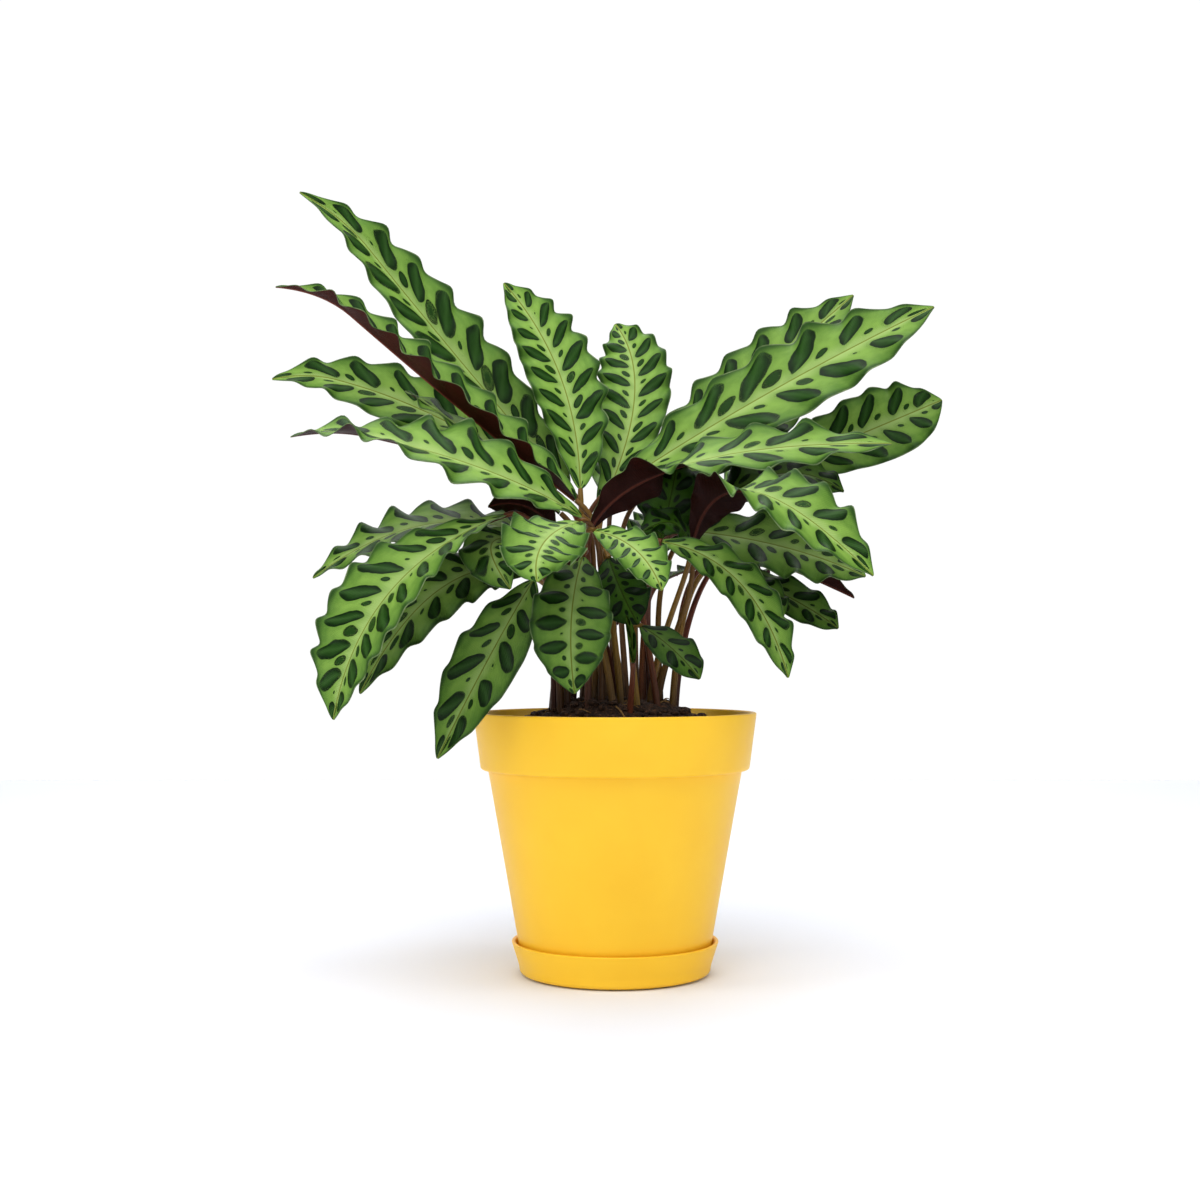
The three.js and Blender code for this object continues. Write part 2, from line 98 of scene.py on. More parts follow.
def ringFaces(rings, sides):
    # the wall of a pile of rings, and a cap at each end
    faces = []
    for i in range(rings - 1):
        for k in range(sides):
            a, b = i * sides + k, i * sides + (k + 1) % sides
            faces.append((a, b, b + sides, a + sides))
    last = (rings - 1) * sides
    faces.append(tuple(reversed(range(sides))))
    faces.append(tuple(last + k for k in range(sides)))
    return faces


def meshPiece(name, points, faces, materials, replaced, sharpAngle=60, faceSlots=None):
    # points are in millimetres
    mesh = bpy.data.meshes.new(name)
    mesh.from_pydata([Vector(point) * mm for point in points], [], faces)
    for material in materials:
        mesh.materials.append(material)
    if faceSlots:
        mesh.polygons.foreach_set("material_index", faceSlots)
    mesh.polygons.foreach_set("use_smooth", [True] * len(mesh.polygons))
    mesh.set_sharp_from_angle(angle=math.radians(sharpAngle))
    mesh.update()
    piece = bpy.data.objects.new(name, mesh)
    scene.collection.objects.link(piece)
    if replaced:
        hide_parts(*replaced)
    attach(piece, "root")
    return piece


def addAttribute(mesh, name, vectors):
    layer = mesh.attributes.new(name, "FLOAT_VECTOR", "POINT")
    layer.data.foreach_set("vector", [c for v in vectors for c in v])


# camera, floor and light

cameraSet = dict(
    place=(-9, -1005, 192),  # mm
    pitch=1.79,  # degrees above level
    lens=50, sensor=36,
)
lightSet = dict(
    room="#F4F6FA", roomStrength=0.08,
    key=dict(place=(-700, -2000, 1300), aim=(0, 0, 200), size=1500, power=11),
    fill=dict(place=(500, -2300, 450), aim=(0, 0, 100), size=1400, power=7),
    left=dict(place=(-1700, -400, 800), aim=(0, 0, 150), size=1000, power=9),
    right=dict(place=(1700, -400, 800), aim=(0, 0, 150), size=1000, power=6),
    top=dict(place=(0, -700, 2000), aim=(0, 0, 0), size=2200, power=37),
    back=dict(place=(0, 1100, 1900), aim=(0, 1000, 0), size=1800, power=26),
    paper="#EBEEF5",
    floorWidth=60, wallDistance=1.5, wallWidth=2.8, wallHeight=1.7,  # metres
    wallGlow=1.0,
)


def makeCamera():
    camera = bpy.data.objects.new("camera", bpy.data.cameras.new("camera"))
    camera.data.lens = cameraSet["lens"]
    camera.data.sensor_width = cameraSet["sensor"]
    camera.location = Vector(cameraSet["place"]) * mm
    camera.rotation_euler = (math.radians(90 + cameraSet["pitch"]), 0, 0)
    scene.collection.objects.link(camera)
    scene.camera = camera


def makeSoftbox(name, place, aim, size, power):
    lamp = bpy.data.lights.new(name, "AREA")
    lamp.shape = "DISK"
    lamp.size = size * mm
    lamp.energy = power
    softbox = bpy.data.objects.new(name, lamp)
    softbox.location = Vector(place) * mm
    direction = Vector(aim) - Vector(place)
    softbox.rotation_euler = direction.to_track_quat("-Z", "Y").to_euler()
    scene.collection.objects.link(softbox)


def makeStagePlane(name, corners, material):
    mesh = bpy.data.meshes.new(name)
    mesh.from_pydata(corners, [], [(0, 1, 2, 3)])
    mesh.materials.append(material)
    plane = bpy.data.objects.new(name, mesh)
    scene.collection.objects.link(plane)


def makeStudio():
    p = lightSet
    world = bpy.data.worlds.new("studio")
    world.use_nodes = True
    background = world.node_tree.nodes["Background"]
    background.inputs["Color"].default_value = linearColour(p["room"])
    background.inputs["Strength"].default_value = p["roomStrength"]
    scene.world = world
    for name in ("key", "fill", "left", "right", "top", "back"):
        makeSoftbox(name, **p[name])
    # matt white paper, which keeps only a soft shadow
    paper, _, _ = newMaterial("studioPaper", Base_Color=linearColour(p["paper"]), Roughness=0.95)
    wide = p["floorWidth"] / 2
    makeStagePlane("floor", [(-wide, -wide, 0), (wide, -wide, 0), (wide, wide, 0), (-wide, wide, 0)],
                   paper)
    # white acrylic, lit evenly from behind
    litWall, _, _ = newMaterial("litWall", Base_Color=(0, 0, 0, 1), Roughness=1,
                                Emission_Color=(1, 1, 1, 1), Emission_Strength=p["wallGlow"])
    wide, high, back = p["wallWidth"] / 2, p["wallHeight"], p["wallDistance"]
    makeStagePlane("wall", [(-wide, back, 0), (wide, back, 0), (wide, back, high), (-wide, back, high)],
                   litWall)
    scene.view_settings.view_transform = "Standard"
    scene.view_settings.look = "None"


makeCamera()
makeStudio()
print("camera and studio ready")


# pot and saucer

potSet = dict(
    saucerFloor=3, saucerRim=62, saucerHeight=20, saucerWall=2.4, footRadius=57.5, baseRadius=52,
    toe=0.6, toeHeight=1.6, footHeight=6, saucerFillets=(2, 1.8, 1.5, 0.9, 0.9, 1.2),
    bottomRadius=55, bodyTopRadius=76.2, bandBottomRadius=80.5, rimRadius=85,
    bandHeight=122, height=156, wall=3, floor=3, ledge=1,
    potFillets=(2, 0.8, 1.8, 1.3, 1.3, 1.2, 1.2, 1.5), filletSteps=5,
    drainCentre=5, drainOuter=4, drainRing=34, drainCount=4, drainSides=32, drillDepth=12,
    turnSides=192, sharpAngle=40,
    yellow="#FFCB2C", yellowDeep="#FCC427", flowScale=25,  # flow marks some 40 mm long
    peelScale=650, peelDepth=0.2, roughness=(0.36, 0.48),
)


def mouldedPolypropylene():
    # injection-moulded polypropylene, self-coloured: an even satin skin with a faint orange peel
    p = potSet
    material, shader, add = newMaterial("mouldedPolypropylene", Roughness=0.42, IOR=1.49,
                                        Specular_IOR_Level=0.3)
    place = add("TexCoord").outputs["Object"]
    # flow marks change the yellow very slightly
    flow = add("TexNoise", place, p["flowScale"], Detail=3)
    tint = add("ValToRGB", flow, stops=[(0.3, p["yellow"]), (0.75, p["yellowDeep"])])
    feed(shader.inputs["Base Color"], tint)
    # orange peel: waves about 1.5 mm apart, drawn a little coarser than real ones
    peel = add("TexNoise", place, p["peelScale"], Detail=2)
    feed(shader.inputs["Normal"], add("Bump", Strength=0.12, Distance=p["peelDepth"] * mm, Height=peel))
    # handling leaves patches that are a touch shinier
    feed(shader.inputs["Roughness"], add("MapRange", flow, 0, 1, *p["roughness"]))
    return material


def roundedProfile(corners):
    # corners: [(radius, height, fillet)]; each fillet becomes an arc-like curve
    points = []
    for i, (r, z, fillet) in enumerate(corners):
        here = Vector((r, z))
        if fillet == 0:
            points.append(here)
            continue
        before = Vector(corners[i - 1][:2])
        after = Vector(corners[i + 1][:2])
        start = here + (before - here).normalized() * fillet
        end = here + (after - here).normalized() * fillet
        for k in range(potSet["filletSteps"] + 1):
            u = k / potSet["filletSteps"]
            points.append(start * (1 - u) ** 2 + here * 2 * u * (1 - u) + end * u ** 2)
    return points


def turnedPiece(name, corners, material, node):
    # turns a profile that starts and ends on the axis
    profile = roundedProfile(corners)[1:-1]
    sides = potSet["turnSides"]
    points = [ringPoint(point.x, k / sides, point.y) for point in profile for k in range(sides)]
    return meshPiece(name, points, ringFaces(len(profile), sides), [material], [node],
                     potSet["sharpAngle"])


def potInnerRadius(z):
    low = potSet["saucerFloor"] + potSet["floor"]
    share = (z - low) / (potSet["bandHeight"] - potSet["wall"] - low)
    span = potSet["bodyTopRadius"] - potSet["bottomRadius"]
    return potSet["bottomRadius"] - potSet["wall"] + share * span


def bandInnerRadius(z):
    share = (z - potSet["bandHeight"]) / (potSet["height"] - potSet["bandHeight"])
    span = potSet["rimRadius"] - potSet["bandBottomRadius"]
    return potSet["bandBottomRadius"] - potSet["wall"] + share * span


def makeSaucer(material):
    p = potSet
    base, toe, foot, rim, lip, cove = p["saucerFillets"]
    turnedPiece("saucerDish", [
        (0, 0, 0), (p["baseRadius"], 0, base), (p["footRadius"] - p["toe"], p["toeHeight"], toe),
        (p["footRadius"], p["footHeight"], foot),
        (p["saucerRim"], p["saucerHeight"], rim),
        (p["saucerRim"] - p["saucerWall"], p["saucerHeight"], lip),
        (p["footRadius"] - p["saucerWall"] + p["toe"], p["saucerFloor"], cove),
        (0, p["saucerFloor"], 0)], material, "saucer")


def makePot(material):
    p = potSet
    low = p["saucerFloor"]
    inside = low + p["floor"]
    step = p["bandHeight"] - p["wall"]
    ledge = p["bandHeight"] + p["ledge"]
    fillets = p["potFillets"]
    corners = [
        (p["bottomRadius"], low), (p["bodyTopRadius"], p["bandHeight"]),
        (p["bandBottomRadius"], p["bandHeight"]), (p["rimRadius"], p["height"]),
        (p["rimRadius"] - p["wall"], p["height"]), (bandInnerRadius(ledge), ledge),
        (potInnerRadius(step), step), (potInnerRadius(inside), inside)]
    rounded = [(radius, z, fillet) for (radius, z), fillet in zip(corners, fillets)]
    pot = turnedPiece("potBody", [(0, low, 0), *rounded, (0, inside, 0)], material, "pot")
    cutter = bmesh.new()
    holes = [(0, 0, p["drainCentre"])]
    for i in range(p["drainCount"]):
        x, y, _ = ringPoint(p["drainRing"], (i + 0.5) / p["drainCount"], 0)
        holes.append((x, y, p["drainOuter"]))
    for x, y, radius in holes:
        made = bmesh.ops.create_cone(cutter, cap_ends=True, segments=p["drainSides"],
                                     depth=p["drillDepth"] * mm, radius1=radius * mm, radius2=radius * mm)
        bmesh.ops.translate(cutter, verts=made["verts"], vec=Vector((x, y, low)) * mm)
    cutterMesh = bpy.data.meshes.new("drainCutter")
    cutter.to_mesh(cutterMesh)
    cutter.free()
    drills = bpy.data.objects.new("drainCutter", cutterMesh)
    scene.collection.objects.link(drills)
    cut = pot.modifiers.new("drains", "BOOLEAN")
    cut.operation = "DIFFERENCE"
    cut.object = drills
    bpy.context.view_layer.update()
    carved = bpy.data.meshes.new_from_object(pot.evaluated_get(bpy.context.evaluated_depsgraph_get()))
    pot.modifiers.clear()
    pot.data = carved
    pot.data.set_sharp_from_angle(angle=math.radians(p["sharpAngle"]))
    bpy.data.objects.remove(drills)


polypropylene = mouldedPolypropylene()
makeSaucer(polypropylene)
makePot(polypropylene)
print("pot and saucer ready")


# leaves: where each one grows
# root: where the stalk leaves the crown; collar, mid, tip: the midrib; face: which way the upper
# side looks, at even steps along the blade, the last one held to the tip; waves: crests on an
# edge; swell: below 1 widest near the collar; fold: degrees each half is lifted; hook: how far
# the tip is bent away; frill: how much higher the waves are than usual; fullness: exponent of the
# outline, lower is squarer; age: 0 fresh and bright, 1 dark and olive, for old leaves and as painted
# shade on leaves deep in the bunch; blotch: how large its blotches are; slant: how far they lean
# towards the tip; under: painted light and shade on its underside, lighter above 1, darker below

usualLeaf = dict(fold=12, hook=(0, 0, 0), frill=1, fullness=0.65, ageAndShade=0, blotch=1, slant=1, under=1)

bladeSet = dict(
    thickness=0.5, keel=0.9, keelWidth=1.2, groove=0.25,
    baseHalfWidth=1.6, basePower=4, tipHalfWidth=0.6,
    endFullness=0.9, footPower=2, tipPower=8,  # both ends are pointed, the tip over a shorter length
    rowLean=0.22, droop=0.12,
    usualWidth=50, ruffle=3.4, edging=2.2, tooth=0.05, calm=5, skew=0.4, crestPhase=1.2,
    uneven=0.3, unevenPace=2, hookFrom=0.8, ribStep=0.01,
    rowsPerWave=14, columns=13, columnCrowding=1.6,
)

leafTable = [
    # upright, in the middle
    dict(root=(-8, 8), collar=(-21, 12, 292), mid=(-34, 32, 365), tip=(-70, 45, 426), width=50,
         face=[(0.35, -0.93, 0.1)], waves=9, swell=0.85, fold=20, fullness=0.75),
    dict(root=(2, 18), collar=(-11, 34, 277), mid=(13, 62, 354), tip=(1, 96, 410), width=48,
         face=[(-0.15, -0.9, 0.4)], waves=9, swell=1.05, fullness=0.75),
    # upper left, from the back forwards
    dict(root=(-20, 20), collar=(-29, 42, 296), mid=(-107, 60, 389), tip=(-192, 52, 494),
         hook=(-9, 0, -8), width=52, face=[(0.35, -0.85, 0.35)], waves=9, swell=0.78, fold=28,
         fullness=0.8, blotch=1.35),
    dict(root=(-26, 10), collar=(-37, 18, 291), mid=(-121, 26, 343), tip=(-209, 22, 368),
         hook=(-3, 0, -7), width=44, face=[(0, -0.85, 0.5)], waves=7, swell=0.88, fold=20, fullness=0.8,
         under=1.5),
    dict(root=(-18, 2), collar=(-24, 0, 284), mid=(-107, 0, 351), tip=(-197, 6, 429), hook=(-10, 0, -14),
         width=40, face=[(0.55, -0.4, 0.73)], waves=9, swell=0.7, fold=50, fullness=0.8, blotch=1.2,
         under=2.3),
    dict(root=(-30, 2), collar=(-33, -2, 276), mid=(-87, -7, 322), tip=(-126, -9, 349), width=34,
         face=[(0, -0.25, 0.95)], waves=4, swell=0.9, ageAndShade=0.3),
    dict(root=(-14, -10), collar=(-20, -14, 273), mid=(-92, -48, 303), tip=(-183, -50, 323),
         hook=(-4, 0, -7), width=58,
         face=[(0.1, -0.75, 0.65), (0.1, -0.75, 0.65), (0.1, -0.65, 0.75), (0.2, -0.3, 0.95)], waves=7,
         swell=1.05, fold=20, under=1.5),
    dict(root=(-32, -6), collar=(-36, -6, 266), mid=(-54, -8, 280), tip=(-76, -12, 279), width=30,
         face=[(0, 0.45, 0.9)], waves=4, swell=0.9, ageAndShade=0.5),
    # left, arching over and hanging
    dict(root=(-38, 4), collar=(-42, 6, 259), mid=(-110, -8, 269), tip=(-179, -20, 236), width=51,
         face=[(0, -0.45, 0.9)], waves=7, swell=0.85, fullness=0.8, ageAndShade=0.15),
    dict(root=(-36, -14), collar=(-64, -44, 271), mid=(-124, -88, 226), tip=(-155, -92, 155), width=60,
         face=[(0, -0.3, 0.95), (-0.6, -0.8, 0.2)], waves=9, swell=1.05, fold=24, frill=0.5, ageAndShade=0.1,
         blotch=1.1),
    dict(root=(-38, -4), collar=(-51, -10, 241), mid=(-103, -28, 229), tip=(-148, -40, 168), width=46,
         face=[(-0.25, -0.75, 0.5)], waves=6, swell=0.85, fullness=0.8, ageAndShade=0.5),
    dict(root=(-32, -20), collar=(-48, -34, 234), mid=(-71, -66, 190), tip=(-98, -92, 134), width=43,
         face=[(-0.3, -0.9, 0.3)], waves=5, swell=0.9, frill=0.5, fullness=0.85, ageAndShade=0.55),
    dict(root=(-28, -14), collar=(-58, -25, 258), mid=(-72, -44, 253), tip=(-60, -58, 228), width=36,
         face=[(-0.2, -0.9, 0.4)], waves=4, swell=0.9, ageAndShade=0.4),
    # front, in the middle
    dict(root=(-8, -24), collar=(-21, -52, 267), mid=(-40, -90, 252), tip=(-43, -104, 230), width=46,
         face=[(0, -0.2, 1), (0, -0.95, 0.3)], waves=6, swell=0.9, frill=1.2),
    dict(root=(-16, -30), collar=(-19, -46, 247), mid=(-25, -76, 210), tip=(-23, -82, 169), width=46,
         face=[(0, -1, 0.15)], waves=6, swell=0.9, frill=0.6, fullness=0.8, ageAndShade=0.5, slant=-0.2),
    dict(root=(0, -30), collar=(-12, -46, 262), mid=(11, -76, 249), tip=(25, -90, 226), width=28,
         face=[(0.1, -0.85, 0.5)], waves=6, swell=0.95, frill=1.2, blotch=0.8),
    dict(root=(4, -22), collar=(-4, -30, 247), mid=(3, -40, 228), tip=(13, -44, 208), width=32,
         face=[(0, -1, 0.1)], waves=4, swell=0.95, ageAndShade=1.0),
    dict(root=(14, -30), collar=(15, -42, 207), mid=(32, -60, 194), tip=(47, -70, 177), width=25,
         face=[(0.2, -0.8, 0.55)], waves=3, swell=0.95, frill=0.6, ageAndShade=0.85),
    # right, from the back forwards
    dict(root=(16, 24), collar=(23, 62, 296), mid=(75, 75, 329), tip=(124, 84, 351), width=40,
         face=[(0, -0.85, 0.45)], waves=5, swell=0.9, ageAndShade=0.6),
    dict(root=(6, 10), collar=(7, 20, 298), mid=(79, 35, 356), tip=(152, 48, 419), width=48,
         face=[(-0.25, -0.85, 0.4)], waves=7, swell=1.05, ageAndShade=0.1),
    dict(root=(-2, 0), collar=(-3, 5, 290), mid=(91, 2, 348), tip=(194, 2, 402), width=56,
         face=[(-0.2, -0.85, 0.45)], waves=7, swell=1.05, ageAndShade=0.12),
    dict(root=(24, 14), collar=(41, 34, 282), mid=(135, 42, 321), tip=(208, 48, 352), width=50,
         face=[(0.1, -0.9, 0.35)], waves=8, swell=1.65, frill=0.7, ageAndShade=0.3),
    dict(root=(-4, -10), collar=(-14, -18, 266), mid=(44, -29, 303), tip=(160, -42, 313), width=43,
         face=[(-0.25, 0.85, 0.45), (-0.25, 0.85, 0.45), (0, -0.35, 0.75), (0, -0.7, 0.7)], waves=7,
         swell=1.12, frill=1.3, ageAndShade=0.08),
    dict(root=(28, 8), collar=(46, 15, 268), mid=(95, 10, 300), tip=(140, 10, 290), width=38,
         face=[(0, -0.7, 0.7)], waves=5, swell=1, ageAndShade=0.9),
    # right, arching over and hanging
    dict(root=(20, -12), collar=(45, -34, 253), mid=(75, -68, 283), tip=(141, -92, 234), width=52,
         waves=8, swell=1.25, fold=20, frill=0.85, fullness=0.45,
         face=[(0.35, 0.8, 0.45), (0.35, 0.5, 0.75), (0.35, -0.5, 0.75), (0.3, -0.75, 0.55)], ageAndShade=0.06,
         under=0.65),
    dict(root=(22, 2), collar=(46, -14, 264), mid=(98, -28, 254), tip=(145, -40, 236), width=48,
         face=[(0, -0.75, 0.65)], waves=5, swell=0.8, frill=1.3, ageAndShade=0.42),
    dict(root=(26, -20), collar=(27, -42, 256), mid=(70, -66, 231), tip=(95, -84, 178), width=29,
         face=[(0.3, -0.85, 0.4)], waves=6, swell=0.95, fullness=0.5, ageAndShade=0.35, blotch=0.9),
    dict(root=(36, 6), collar=(65, 8, 244), mid=(103, -14, 225), tip=(131, -26, 206), width=26,
         face=[(0.2, -0.85, 0.4)], waves=4, swell=1, ageAndShade=0.75),
    dict(root=(34, -12), collar=(66, -14, 241), mid=(84, -27, 228), tip=(98, -34, 213), width=26,
         face=[(0.2, -0.85, 0.4)], waves=3, swell=1, ageAndShade=0.65),
    dict(root=(36, 2), collar=(89, 24, 252), mid=(120, 17, 238), tip=(146, 10, 225), width=14,
         face=[(0, 0.6, 0.8)], waves=3, swell=1, fold=50, ageAndShade=1.0),
    # inside the bunch
    dict(root=(16, -4), collar=(25, 6, 249), mid=(33, 4, 282), tip=(38, 8, 308), width=38,
         face=[(-0.4, -0.9, 0.1)], waves=4, swell=0.95, ageAndShade=1.0),
    dict(root=(24, -8), collar=(44, -18, 256), mid=(33, -28, 268), tip=(15, -34, 262), width=26,
         face=[(0, -0.7, 0.7)], waves=3, swell=0.95, ageAndShade=1.0),
    # a young one, still rolled up
    dict(root=(8, -36), collar=(10, -46, 186), mid=(9, -49, 200), tip=(6, -50, 213), width=9,
         face=[(0, -1, 0.2)], waves=2, swell=0.9, fold=60, ageAndShade=0.8),
    # far side
    dict(root=(-10, 30), collar=(-22, 86, 252), mid=(-43, 136, 262), tip=(-66, 186, 246), width=46,
         face=[(0, 0.3, 0.95)], waves=6, swell=0.9, ageAndShade=0.3),
    dict(root=(-2, 36), collar=(-2, 78, 224), mid=(-12, 126, 222), tip=(-24, 170, 188), width=44,
         face=[(0, 0.5, 0.85)], waves=6, swell=0.9, ageAndShade=0.6),
    dict(root=(8, 32), collar=(12, 92, 262), mid=(36, 136, 284), tip=(62, 176, 276), width=44,
         face=[(-0.1, -0.2, 0.95)], waves=6, swell=0.9, ageAndShade=0.2),
    dict(root=(20, 30), collar=(34, 74, 240), mid=(74, 118, 248), tip=(108, 160, 226), width=44,
         face=[(0.2, 0.4, 0.9)], waves=6, swell=0.9, ageAndShade=0.5),
    dict(root=(-28, 26), collar=(-48, 66, 238), mid=(-90, 106, 248), tip=(-128, 138, 226), width=44,
         face=[(-0.2, 0.4, 0.9)], waves=6, swell=0.9, ageAndShade=0.3),
    dict(root=(0, 26), collar=(-2, 74, 288), mid=(4, 124, 330), tip=(10, 172, 350), width=44,
         face=[(0, -0.5, 0.85)], waves=6, swell=0.9),
    dict(root=(-18, 30), collar=(-30, 72, 286), mid=(-78, 112, 318), tip=(-118, 146, 330), width=44,
         face=[(0.2, -0.2, 0.95)], waves=6, swell=0.9),
    dict(root=(14, 34), collar=(36, 84, 280), mid=(80, 120, 306), tip=(122, 144, 322), width=44,
         face=[(-0.2, -0.2, 0.95)], waves=6, swell=0.9),
]


def leafFrom(row, number):
    leaf = dict(usualLeaf, **row)
    collar, mid, tip = (Vector(leaf[key]) for key in ("collar", "mid", "tip"))
    face = [Vector(f).normalized() for f in leaf["face"]]
    leaf.update(number=number, collar=collar, tip=tip, bend=mid * 2 - (collar + tip) / 2,
                face=face + [face[-1]], fold=math.radians(leaf["fold"]), hook=Vector(leaf["hook"]),
                length=(mid - collar).length + (tip - mid).length)
    return leaf


def ribPoint(leaf, u):
    bent = max(0, u - bladeSet["hookFrom"]) / (1 - bladeSet["hookFrom"])
    curve = leaf["collar"] * (1 - u) ** 2 + leaf["bend"] * 2 * u * (1 - u) + leaf["tip"] * u ** 2
    return curve + leaf["hook"] * bent ** 2


def ribTangent(leaf, u):
    step = bladeSet["ribStep"]
    return (ribPoint(leaf, min(1, u + step)) - ribPoint(leaf, max(0, u - step))).normalized()


def facing(leaf, u):
    place = min(u, 1) * (len(leaf["face"]) - 1)
    step = min(int(place), len(leaf["face"]) - 2)
    return leaf["face"][step].lerp(leaf["face"][step + 1], place - step)


def halfWidth(leaf, s):
    b = bladeSet
    nearEnd = max((1 - s) ** b["footPower"], s ** b["tipPower"])
    fullness = leaf["fullness"] + (b["endFullness"] - leaf["fullness"]) * nearEnd
    outline = max(0.0, math.sin(math.pi * s ** leaf["swell"])) ** fullness
    foot = b["baseHalfWidth"] * (1 - s) ** b["basePower"]
    return leaf["width"] / 2 * outline + foot + b["tipHalfWidth"] * s


def bladePoint(leaf, s, t):
    # a point of the upper side, the direction it faces and its distance from the midrib
    b = bladeSet
    side = abs(t)
    u = s + b["rowLean"] * side * s * (1 - s)
    along = ribTangent(leaf, u)
    up = facing(leaf, u)
    up = (up - along * up.dot(along)).normalized()
    across = along.cross(up)
    row = leaf["waves"] * s + (0.5 if t < 0 else 0)
    phase = fullTurn * row + b["crestPhase"]
    wave = math.sin(phase + b["skew"] * math.sin(phase))
    uneven = 1 + b["uneven"] * math.sin(b["unevenPace"] * (row + leaf["number"]))
    height = leaf["frill"] * uneven * min(1, b["calm"] * s, b["calm"] * (1 - s))
    reach = halfWidth(leaf, s) * side * (1 + b["tooth"] * wave * height * side)
    lift = math.sin(leaf["fold"]) * reach - b["droop"] * reach * side
    ruffle = b["ruffle"] * leaf["width"] / b["usualWidth"] * height * wave * side ** b["edging"]
    groove = b["groove"] * math.exp(-(reach / b["keelWidth"]) ** 2)
    point = ribPoint(leaf, u) + across * math.copysign(math.cos(leaf["fold"]) * reach, t)
    return point + up * (lift + ruffle - groove), up, reach


def makeBlade(leaf, upperMaterial, underMaterial):
    b = bladeSet
    rows = b["rowsPerWave"] * leaf["waves"]
    half = [(i / b["columns"]) ** b["columnCrowding"] for i in range(b["columns"] + 1)]
    across = [-t for t in reversed(half[1:])] + half
    top, under, place, size, trait = [], [], [], [], []
    for i in range(rows + 1):
        s = i / rows
        for t in across:
            point, up, reach = bladePoint(leaf, s, t)
            keel = b["keel"] * (1 - s) * max(0, 1 - (reach / b["keelWidth"]) ** 2)
            top.append(point)
            under.append(point - up * (b["thickness"] + keel))
            place.append((leaf["waves"] * s, t, leaf["number"]))
            size.append((s * leaf["length"], math.copysign(reach, t), leaf["under"]))
            trait.append((leaf["ageAndShade"], leaf["blotch"], leaf["slant"]))
    columns = len(across)
    perFace = len(top)
    faces, slots = [], []
    for i in range(rows):
        for j in range(columns - 1):
            a = i * columns + j
            faces.append((a, a + 1, a + columns + 1, a + columns))
            faces.append((perFace + a, perFace + a + columns, perFace + a + columns + 1, perFace + a + 1))
            slots += [0, 1]
        left, right = i * columns, i * columns + columns - 1
        faces.append((left, left + columns, perFace + left + columns, perFace + left))
        faces.append((right, perFace + right, perFace + right + columns, right + columns))
        slots += [0, 0]
    for j in range(columns - 1):
        tip = rows * columns + j
        faces.append((j, perFace + j, perFace + j + 1, j + 1))
        faces.append((tip, tip + 1, perFace + tip + 1, perFace + tip))
        slots += [0, 0]
    name = "%02d" % leaf["number"]
    piece = meshPiece("blade" + name, top + under, faces, [upperMaterial, underMaterial],
                      ["leaf_" + name], faceSlots=slots)
    addAttribute(piece.data, "leafPlace", place * 2)  # row, place from edge to edge, number
    addAttribute(piece.data, "leafSize", size * 2)  # mm along, mm across, painted light and shade of the underside
    # age, which is also painted shade on leaves deep in the bunch; blotch size; slant
    addAttribute(piece.data, "leafTrait", trait * 2)


# leaves: their surfaces
# pairs of numbers are where a soft edge starts and ends; side is 0 at the midrib and 1 at the edge,
# and places in a blotch are 0 in its middle and 1 on its outline

leafPaint = dict(
    ground="#86AC4A", groundNearRib="#ADC778", groundOuter="#5A8231",
    margin="#1B3D15", blotch="#1F4111", blotchRim="#0B2305", blotchStreak="#42692F",
    # the pale rim colour is a painted highlight
    rib="#79842F", rimHighlight="#A7B883",
    # the aged colour darkens old leaves and is also painted shade on leaves deep in the bunch
    agedAndShaded="#587238", burgundy="#32100A", burgundyDeep="#180704", underRib="#4E261C",
    growth=(0.05, 0.08, 3.7),  # how fast growth varies: per mm along, per mm across, per leaf
    drift=0.3,  # how far blotches stray from their rows
    slant=0.5, crest=0.85,  # extra lean of the blotches, in waves per half width, and where it is nil
    bigWide=0.23, bigWiden=0.08, bigWidth=(0.3, 0.85), bigPower=1.6,
    bigLong=0.32, bigLongUneven=0.08, bigPlace=0.48,
    smallWide=0.15, smallLong=0.12, smallPlace=0.24, smallSize=(1.1, 0.2), smallPower=2, smallDraw=31,
    blotchEdge=(1.06, 0.92), blotchMiddle=(0.45, 0), blotchDeep=(0.25, 0.8), streaks=(0.3, 0.2),
    outer=(0.35, 1), outerUneven=0.7, nearRib=(0.34, 0), nearRibShare=0.75, veinShare=0.16,
    shadow=(2.4, 0.9), shadowShare=0.35,
    marginEdge=(0.84, 1.02), marginShare=0.85, marginWave=0.04, marginUneven=0.06,
    # where the painted highlight on the very rim lies, and how patchy it is
    rimHighlightEdge=(0.96, 0.995), rimHighlightPatches=(1.6, -0.55),
    ribWidth=0.55, ribCore=0.22, underRibEdge=(1.3, 0.5),  # mm
    veinPitch=1.5, veinLean=0.9,  # mm, and mm along per mm out
    gloss=(0.42, 0.34), underVeinShare=0.25, underPatch=0.08,  # per mm, so patches of 12 mm
)


